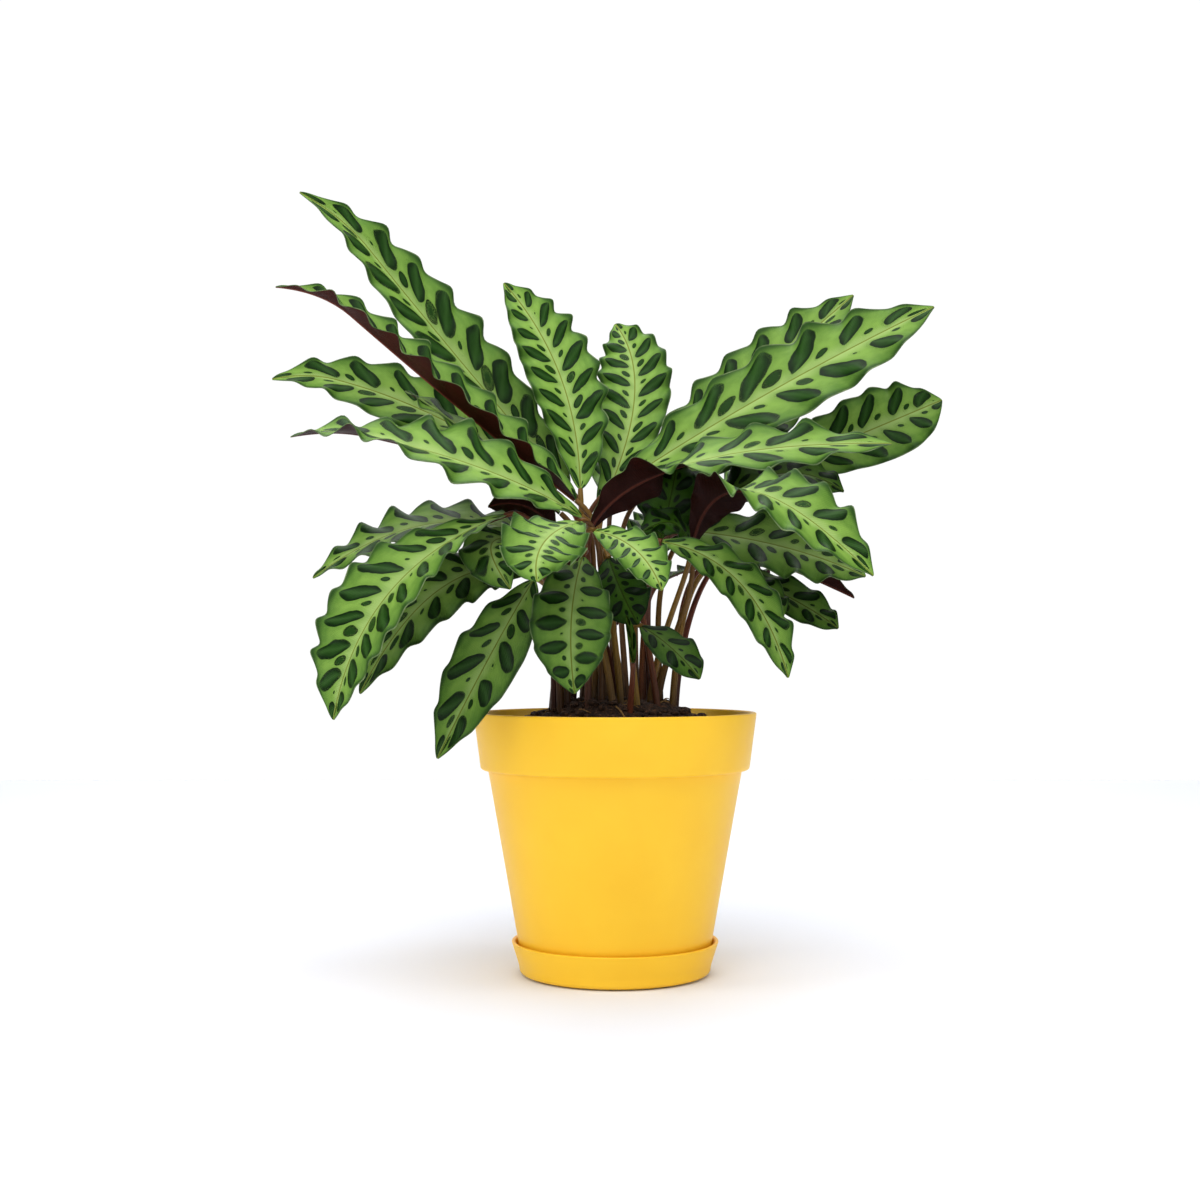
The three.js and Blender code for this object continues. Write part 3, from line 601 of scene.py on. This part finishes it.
def rattlesnakeUpper():
    # the waxy upper skin of a living leaf: satin, with the pattern in the skin itself,
    # plus painted shade on leaves deep in the bunch and a painted highlight on the rim
    p = leafPaint
    paint = {key: linearColour(value) for key, value in p.items() if isinstance(value, str)}
    soft = dict(interpolation_type="SMOOTHSTEP")
    material, shader, add = newMaterial("waxyLeafUpper", Roughness=0.4, IOR=1.45, Specular_IOR_Level=0.1)
    (row, cross, number), (alongMm, reachMm, _), (ageAndShade, blotchSize, slant) = (
        add("SeparateXYZ", add("Attribute", attribute_name=name).outputs["Vector"]).outputs
        for name in ("leafPlace", "leafSize", "leafTrait"))
    side = add("Math", cross, operation="ABSOLUTE")
    out = add("Math", reachMm, operation="ABSOLUTE")
    otherHalf = add("Math", cross, 0, operation="LESS_THAN")

    # uneven growth: the rows wander and the ground is mottled
    spot = add("CombineXYZ", *(add("Math", value, pace, operation="MULTIPLY")
                               for value, pace in zip((alongMm, reachMm, number), p["growth"])))
    wander = add("TexNoise", spot, Scale=1, Detail=2)
    drift = add("Math", wander, p["drift"], -p["drift"] / 2, operation="MULTIPLY_ADD")
    mottle = add("TexNoise", spot, Scale=2.2, Detail=4)

    # big blotches lie on whole rows, small ones midway, and one edge is half a row ahead
    rowHalf = add("Math", otherHalf, 0.5, row, operation="MULTIPLY_ADD")
    lean = add("Math", side, -p["slant"], p["slant"] * p["crest"], operation="MULTIPLY_ADD")
    lean = add("Math", slant, lean, operation="MULTIPLY")
    slanted = add("Math", rowHalf, lean, operation="ADD")
    slanted = add("Math", slanted, drift, operation="ADD")
    toBig = add("Math", slanted, 0.5, operation="PINGPONG")
    toSmall = add("Math", 0.5, toBig, operation="SUBTRACT")

    # each blotch has its own size, drawn from its row, its side and its leaf
    bigRow = add("Math", add("Math", slanted, 0.5, operation="ADD"), operation="FLOOR")
    smallRow = add("Math", add("Math", slanted, operation="FLOOR"), p["smallDraw"], operation="ADD")
    own = add("TexWhiteNoise", add("CombineXYZ", bigRow, otherHalf, number))
    ownSmall = add("TexWhiteNoise", add("CombineXYZ", smallRow, otherHalf, number))

    # big blotch: a long oval with slightly pointed ends, a little wider outwards
    widen = add("Math", side, p["bigWiden"], p["bigWide"], operation="MULTIPLY_ADD")
    widen = add("Math", blotchSize, widen, operation="MULTIPLY")
    width = add("Math", own, *p["bigWidth"], operation="MULTIPLY_ADD")
    width = add("Math", widen, width, operation="MULTIPLY")
    bigAcross = add("Math", toBig, width, operation="DIVIDE")
    length = add("Math", own, p["bigLongUneven"], p["bigLong"], operation="MULTIPLY_ADD")
    bigAlong = add("Math", add("Math", side, p["bigPlace"], operation="SUBTRACT"), length,
                   operation="DIVIDE")
    big = add("Math", add("Math", bigAcross, p["bigPower"], operation="POWER"),
              add("Math", bigAlong, bigAlong, operation="MULTIPLY"), operation="ADD")
    # small blotch: an oval beside the midrib, now and then left out
    scale = add("Math", add("Math", ownSmall, *p["smallSize"], operation="MULTIPLY_ADD"), blotchSize,
                operation="MULTIPLY")
    width = add("Math", scale, p["smallWide"], operation="MULTIPLY")
    smallAcross = add("Math", toSmall, width, operation="DIVIDE")
    length = add("Math", scale, p["smallLong"], operation="MULTIPLY")
    smallAlong = add("Math", add("Math", side, p["smallPlace"], operation="SUBTRACT"), length,
                     operation="DIVIDE")
    small = add("Math", add("Math", smallAcross, p["smallPower"], operation="POWER"),
                add("Math", smallAlong, smallAlong, operation="MULTIPLY"), operation="ADD")
    nearest = add("Math", big, small, operation="MINIMUM")
    inside = add("MapRange", nearest, *p["blotchEdge"], **soft)

    # side veins, along the slanted rows
    veinPlace = add("Math", out, -p["veinLean"], alongMm, operation="MULTIPLY_ADD")
    veinPhase = add("Math", veinPlace, fullTurn / p["veinPitch"], operation="MULTIPLY")
    vein = add("Math", add("Math", veinPhase, operation="SINE"), 0.5, 0.5, operation="MULTIPLY_ADD")

    # ground colour: palest along the midrib, deeper outwards, on the veins and round each blotch
    uneven = add("Math", mottle, p["outerUneven"], -p["outerUneven"] / 2, operation="MULTIPLY_ADD")
    outer = add("MapRange", add("Math", side, uneven, operation="ADD"), *p["outer"], **soft)
    nearRib = add("Math", add("MapRange", side, *p["nearRib"], **soft), p["nearRibShare"],
                  operation="MULTIPLY")
    veins = add("Math", vein, p["veinShare"], operation="MULTIPLY")
    shadow = add("Math", add("MapRange", nearest, *p["shadow"], **soft), p["shadowShare"],
                 operation="MULTIPLY")
    # the margin is dark, and widest at the crests
    crest = add("Math", add("Math", rowHalf, fullTurn, operation="MULTIPLY"), operation="COSINE")
    edge = add("Math", mottle, p["marginUneven"], side, operation="MULTIPLY_ADD")
    edge = add("Math", crest, p["marginWave"], edge, operation="MULTIPLY_ADD")
    margin = add("Math", add("MapRange", edge, *p["marginEdge"], **soft), p["marginShare"],
                 operation="MULTIPLY")
    colour = paint["ground"]
    for share, name in ((outer, "groundOuter"), (nearRib, "groundNearRib"), (veins, "groundOuter"),
                        (shadow, "groundOuter"), (margin, "margin")):
        colour = add("Mix", share, colour, paint[name], data_type="RGBA")

    # a blotch is darkest near its outline and has paler veins in its middle
    deep = add("MapRange", nearest, *p["blotchDeep"], **soft)
    middle = add("MapRange", add("Math", bigAcross, operation="ABSOLUTE"), *p["blotchMiddle"], **soft)
    streak = add("Math", middle, add("Math", vein, *p["streaks"], operation="MULTIPLY_ADD"),
                 operation="MULTIPLY")
    dark = add("Mix", deep, paint["blotch"], paint["blotchRim"], data_type="RGBA")
    dark = add("Mix", streak, dark, paint["blotchStreak"], data_type="RGBA")
    colour = add("Mix", inside, colour, dark, data_type="RGBA")
    ribLine = add("MapRange", out, p["ribWidth"], p["ribCore"], **soft)
    colour = add("Mix", ribLine, colour, paint["rib"], data_type="RGBA")
    # painted highlight: the very rim is pale, as if lit, more in some places than in others
    rimHighlightPatches = add("Math", mottle, *p["rimHighlightPatches"], operation="MULTIPLY_ADD", use_clamp=True)
    rimHighlightEdge = add("Math", add("MapRange", side, *p["rimHighlightEdge"], **soft), rimHighlightPatches, operation="MULTIPLY")
    colour = add("Mix", rimHighlightEdge, colour, paint["rimHighlight"], data_type="RGBA")
    # old leaves darker and olive; the same darkening is painted shade on leaves deep in the bunch
    colour = add("Mix", ageAndShade, colour, paint["agedAndShaded"], data_type="RGBA", blend_type="MULTIPLY")
    feed(shader.inputs["Base Color"], colour)
    feed(shader.inputs["Roughness"], add("MapRange", inside, 0, 1, *p["gloss"]))

    # the skin bulges between the side veins and stands slightly lower in the blotches
    relief = 0
    for value, height in ((vein, 0.4), (inside, -0.5), (mottle, 1.2)):
        relief = add("Math", value, height, relief, operation="MULTIPLY_ADD")
    feed(shader.inputs["Normal"], add("Bump", Strength=0.5, Distance=0.35 * mm, Height=relief))
    return material


def rattlesnakeUnder():
    # the underside of a living leaf: burgundy, duller than the upper skin, with raised side veins,
    # and painted light and shade, a factor of its own for each leaf
    p = leafPaint
    material, shader, add = newMaterial("burgundyLeafUnder", Roughness=0.5, IOR=1.45,
                                        Specular_IOR_Level=0.1)
    size = add("Attribute", attribute_name="leafSize").outputs["Vector"]
    alongMm, reachMm, underLightAndShade = add("SeparateXYZ", size).outputs
    out = add("Math", reachMm, operation="ABSOLUTE")
    veinPlace = add("Math", out, -p["veinLean"], alongMm, operation="MULTIPLY_ADD")
    veinPhase = add("Math", veinPlace, fullTurn / p["veinPitch"], operation="MULTIPLY")
    vein = add("Math", add("Math", veinPhase, operation="SINE"), 0.5, 0.5, operation="MULTIPLY_ADD")
    patch = add("TexNoise", size, Scale=p["underPatch"], Detail=3)
    veins = add("Math", vein, p["underVeinShare"], operation="MULTIPLY")
    rib = add("MapRange", out, *p["underRibEdge"], interpolation_type="SMOOTHSTEP")
    colour = linearColour(p["burgundy"])
    for share, name in ((patch, "burgundyDeep"), (veins, "burgundyDeep"), (rib, "underRib")):
        colour = add("Mix", share, colour, linearColour(p[name]), data_type="RGBA")
    # painted light and shade: each leaf's underside is lightened where lit and darkened in shade
    colour = add("Mix", 1, colour, underLightAndShade, data_type="RGBA", blend_type="MULTIPLY")
    feed(shader.inputs["Base Color"], colour)
    feed(shader.inputs["Normal"], add("Bump", Strength=0.5, Distance=0.3 * mm, Height=vein))
    return material


leaves = [leafFrom(row, number) for number, row in enumerate(leafTable, 1)]
upperSkin = rattlesnakeUpper()
underSkin = rattlesnakeUnder()
for leaf in leaves:
    makeBlade(leaf, upperSkin, underSkin)
print("leaves ready:", len(leaves))


# stalks

stalkSet = dict(
    startHeight=141, baseRadius=2.6, midRadius=1.6, topRadius=1.5, gap=0.3, sides=12, steps=36,
    rise=0.45, approach=0.3,  # shares of its length over which it goes straight up and lines up
    swelling=0.25, swellingPlace=0.95, swellingLength=0.035,  # the joint just under the blade
    sheathGroove=0.22, grooveWidth=0.5,
    red="#6E3322", brown="#54301C", ochre="#96762E", mauve="#63393A", topGreen="#6E4A2A", footDark="#2A1710",
    kinds=((0, "red"), (0.35, "brown"), (0.65, "ochre"), (1, "mauve")),
    greening=(0.6, 1, 0, 0.35),  # from and to, along the stalk, and how much of it
    fibreStretch=(2, 5, 3.1), fibreScale=2.4, fibreShade=(0.3, 0.7, 0.3, 1.35),
    darkerFootRagged=0.3, darkerFoot=(0.5, 0.2, 0, 0.8),
)


def stalkSkin():
    # the smooth skin of a living stalk: satin, streaked along its length
    s = stalkSet
    material, shader, add = newMaterial("livingStalk", Roughness=0.42, IOR=1.45, Specular_IOR_Level=0.25)
    place = add("Attribute", attribute_name="stalkPlace").outputs["Vector"]
    along, _, number = add("SeparateXYZ", place).outputs
    own = add("TexWhiteNoise", add("CombineXYZ", number, 0, 0))
    kind = add("ValToRGB", own, stops=[(share, s[name]) for share, name in s["kinds"]])
    # fibres run the length of the stalk, about 0.6 mm apart
    stretched = add("VectorMath", place, s["fibreStretch"], operation="MULTIPLY")
    fibre = add("TexNoise", stretched, Scale=s["fibreScale"], Detail=4)
    greener = add("MapRange", along, *s["greening"], interpolation_type="SMOOTHSTEP")
    colour = add("Mix", greener, kind, linearColour(s["topGreen"]), data_type="RGBA")
    shade = add("MapRange", fibre, *s["fibreShade"])
    colour = add("Mix", 1, colour, shade, data_type="RGBA", blend_type="MULTIPLY")
    # the foot of each stalk is darker, up to a ragged height
    height = add("Math", fibre, s["darkerFootRagged"], along, operation="MULTIPLY_ADD")
    darkerFoot = add("MapRange", height, *s["darkerFoot"], interpolation_type="SMOOTHSTEP")
    colour = add("Mix", darkerFoot, colour, linearColour(s["footDark"]), data_type="RGBA")
    feed(shader.inputs["Base Color"], colour)
    feed(shader.inputs["Normal"], add("Bump", Strength=0.4, Distance=0.3 * mm, Height=fibre))
    return material


def stalkPath(leaf):
    start = Vector((*leaf["root"], stalkSet["startHeight"]))
    arrive = ribTangent(leaf, 0)
    end = leaf["collar"] - arrive * stalkSet["gap"]
    span = (end - start).length
    rise = start + Vector((0, 0, stalkSet["rise"] * span))
    approach = end - arrive * stalkSet["approach"] * span
    return start, rise, approach, end


def bezierPoint(path, u):
    a, b, c, d = path
    v = 1 - u
    return a * v ** 3 + b * 3 * u * v ** 2 + c * 3 * u ** 2 * v + d * u ** 3


def stalkRadius(u):
    s = stalkSet
    radius = s["midRadius"] + (s["baseRadius"] - s["midRadius"]) * (1 - u) ** 2
    radius += (s["topRadius"] - s["midRadius"]) * u ** 4
    return radius + s["swelling"] * math.exp(-((u - s["swellingPlace"]) / s["swellingLength"]) ** 2)


def tube(path, sides, steps, radiusAt, groove=0.0):
    # rings square to the path, carried along it without twist, with a groove down the first corner
    centres = [bezierPoint(path, i / steps) for i in range(steps + 1)]
    normal = Vector((1, 0, 0))
    points = []
    for i, centre in enumerate(centres):
        ahead = (centres[min(i + 1, steps)] - centres[max(i - 1, 0)]).normalized()
        normal = (normal - ahead * normal.dot(ahead)).normalized()
        binormal = ahead.cross(normal)
        u = i / steps
        for k in range(sides):
            angle = fullTurn * k / sides
            inward = min(angle, fullTurn - angle)
            hollow = groove * (1 - u) * math.exp(-(inward / stalkSet["grooveWidth"]) ** 2)
            radius = radiusAt(u) * (1 - hollow)
            points.append(centre + normal * radius * math.cos(angle) + binormal * radius * math.sin(angle))
    return points


def tubesPiece(name, tubes, sides, steps, material, replaced):
    faces = ringFaces(steps + 1, sides)
    perTube = (steps + 1) * sides
    allFaces = [tuple(perTube * n + i for i in face) for n in range(len(tubes)) for face in faces]
    points = [point for tubePoints in tubes for point in tubePoints]
    return meshPiece(name, points, allFaces, [material], replaced)


def makeStalks(material):
    s = stalkSet
    tubes = [tube(stalkPath(leaf), s["sides"], s["steps"], stalkRadius, s["sheathGroove"])
             for leaf in leaves]
    piece = tubesPiece("stalks", tubes, s["sides"], s["steps"], material, ["stems"])
    place = [(i / s["steps"], math.cos(fullTurn * k / s["sides"]), leaf["number"])
             for leaf in leaves for i in range(s["steps"] + 1) for k in range(s["sides"])]
    addAttribute(piece.data, "stalkPlace", place)


makeStalks(stalkSkin())
print("stalks ready")


# soil

soilSet = dict(
    edgeHeight=142, shoulderRadius=58, shoulderHeight=148, collarRadius=44, collarHeight=155,
    topRadius=32, topHeight=163, topSlope=1, calmEdge=6, rings=56, sides=180, wallGap=0.3,
    lumps=((14, 2.2), (6, 1.32), (2.5, 0.77)),  # mm across and mm high
    peatDark="#1E130C", peat="#3D281A", peatLight="#6B4A30",
    crumbs=420, fibres=700,  # per metre: crumbs of 2.4 mm with finer ones on them, fibres 1.4 mm apart
)
crumbSet = dict(
    seed=11, count=260, reach=76, size=(1.5, 4.5),  # mm
    longer=(0.7, 1.5), wider=(0.6, 1), flatter=(0.35, 0.7), rough=0.35, roughPace=1.7,
    proud=0.15,  # how far its middle lies over the surface, as a share of its size
)
rootSet = dict(
    seed=5, count=46, reach=40, length=(8, 20), loop=(0.5, 3), bend=1.2, thick=(0.25, 0.5),
    sides=6, steps=10, dark="#5A3F22", straw="#9A7740",
    specks=300,  # per metre: 3.3 mm apart
)


def dampPeat():
    # sphagnum peat and composted bark, damp: crumbly and without any shine
    p = soilSet
    material, shader, add = newMaterial("dampPeat", Roughness=0.92, IOR=1.4)
    place = add("TexCoord").outputs["Object"]
    crumbs = add("TexNoise", place, Scale=p["crumbs"], Detail=6)
    fibres = add("TexVoronoi", place, Scale=p["fibres"])
    stops = [(0.35, p["peatDark"]), (0.55, p["peat"]), (0.75, p["peatLight"])]
    feed(shader.inputs["Base Color"], add("ValToRGB", crumbs, stops=stops))
    height = add("Math", crumbs, fibres, operation="ADD")
    feed(shader.inputs["Normal"], add("Bump", Strength=0.9, Distance=1.2 * mm, Height=height))
    return material


def dryRoot():
    # fine dry roots at the surface: straw-coloured and matt
    p = rootSet
    material, shader, add = newMaterial("dryRoot", Roughness=0.8, IOR=1.4)
    speck = add("TexNoise", add("TexCoord").outputs["Object"], Scale=p["specks"], Detail=3)
    stops = [(0.3, p["dark"]), (0.7, p["straw"])]
    feed(shader.inputs["Base Color"], add("ValToRGB", speck, stops=stops))
    return material


def soilHeight(x, y):
    p = soilSet
    radius = math.hypot(x, y)
    wall = bandInnerRadius(p["edgeHeight"])
    knots = [(0, p["topHeight"]), (p["topRadius"], p["topHeight"] - p["topSlope"]),
             (p["collarRadius"], p["collarHeight"]), (p["shoulderRadius"], p["shoulderHeight"]),
             (wall, p["edgeHeight"])]
    height = knots[-1][1]
    for (r0, z0), (r1, z1) in zip(knots, knots[1:]):
        if r0 <= radius <= r1:
            share = (radius - r0) / (r1 - r0)
            height = z0 + (z1 - z0) * share * share * (3 - 2 * share)
            break
    spot = Vector((x, y, 0))
    rough = sum(high * noise.noise(spot / wide) for wide, high in p["lumps"])
    return height + rough * max(0, min(1, (wall - radius) / p["calmEdge"]))


def makeSoil(material):
    p = soilSet
    gap, sides = p["wallGap"], p["sides"]
    wall = bandInnerRadius(p["edgeHeight"]) - gap
    points = [(0, 0, soilHeight(0, 0))]
    for i in range(1, p["rings"] + 1):
        for k in range(sides):
            x, y, _ = ringPoint(wall * i / p["rings"], k / sides, 0)
            points.append((x, y, soilHeight(x, y)))
    # below the surface it follows the inside of the pot
    low = potSet["saucerFloor"] + potSet["floor"]
    step = potSet["bandHeight"] - potSet["wall"]
    ledge = potSet["bandHeight"] + potSet["ledge"]
    below = [(bandInnerRadius(ledge) - 2 * gap, ledge + 1), (potInnerRadius(step) - 2 * gap, step),
             (potInnerRadius(low) - 4 * gap, low + gap / 3)]
    points += [ringPoint(radius, k / sides, z) for radius, z in below for k in range(sides)]
    faces = [(0, 1 + k, 1 + (k + 1) % sides) for k in range(sides)]
    rings = p["rings"] + len(below)
    for i in range(rings - 1):
        for k in range(sides):
            a, b = 1 + i * sides + k, 1 + i * sides + (k + 1) % sides
            faces.append((a, a + sides, b + sides, b))
    last = 1 + (rings - 1) * sides
    faces.append(tuple(last + k for k in reversed(range(sides))))
    meshPiece("peatSoil", points, faces, [material], ["soil"])


def scattered(dice, reach):
    # a random place on the soil, within reach of the pot's axis
    radius = reach * math.sqrt(dice.random())
    angle = dice.uniform(0, fullTurn)
    return radius * math.cos(angle), radius * math.sin(angle)


def makeCrumbs(material):
    # bark and peat crumbs lying on the surface, each a lump pressed a little into it
    p = crumbSet
    dice = random.Random(p["seed"])
    crumbs = bmesh.new()
    for _ in range(p["count"]):
        x, y = scattered(dice, p["reach"])
        size = dice.uniform(*p["size"])
        stretch = Vector([dice.uniform(*p[key]) for key in ("longer", "wider", "flatter")])
        turn = dice.uniform(0, math.pi)
        made = bmesh.ops.create_icosphere(crumbs, subdivisions=2, radius=1)
        for vert in made["verts"]:
            rough = 1 + p["rough"] * noise.noise(vert.co * p["roughPace"] + Vector((x, y, size)))
            point = vert.co * stretch * rough * size
            turned = Vector((point.x * math.cos(turn) - point.y * math.sin(turn),
                             point.x * math.sin(turn) + point.y * math.cos(turn), point.z))
            vert.co = (turned + Vector((x, y, soilHeight(x, y) + p["proud"] * size))) * mm
    mesh = bpy.data.meshes.new("barkCrumbs")
    crumbs.to_mesh(mesh)
    crumbs.free()
    mesh.materials.append(material)
    piece = bpy.data.objects.new("barkCrumbs", mesh)
    scene.collection.objects.link(piece)
    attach(piece, "root")


def makeRoots(material):
    # thin roots that loop over the mound between the stalks
    p = rootSet
    dice = random.Random(p["seed"])
    tubes = []
    for _ in range(p["count"]):
        x, y = scattered(dice, p["reach"])
        heading = dice.uniform(0, fullTurn)
        length = dice.uniform(*p["length"])
        path = []
        for share, lift in ((0, -1), (0.33, dice.uniform(*p["loop"])), (0.66, dice.uniform(*p["loop"])),
                            (1, -1)):
            bend = heading + (share - 0.5) * dice.uniform(-p["bend"], p["bend"])
            px, py = x + math.cos(bend) * length * share, y + math.sin(bend) * length * share
            path.append(Vector((px, py, soilHeight(px, py) + lift)))
        thick = dice.uniform(*p["thick"])
        tubes.append(tube(path, p["sides"], p["steps"], lambda u: thick))
    tubesPiece("surfaceRoots", tubes, p["sides"], p["steps"], material, None)


peat = dampPeat()
makeSoil(peat)
makeCrumbs(peat)
makeRoots(dryRoot())
print("soil ready")
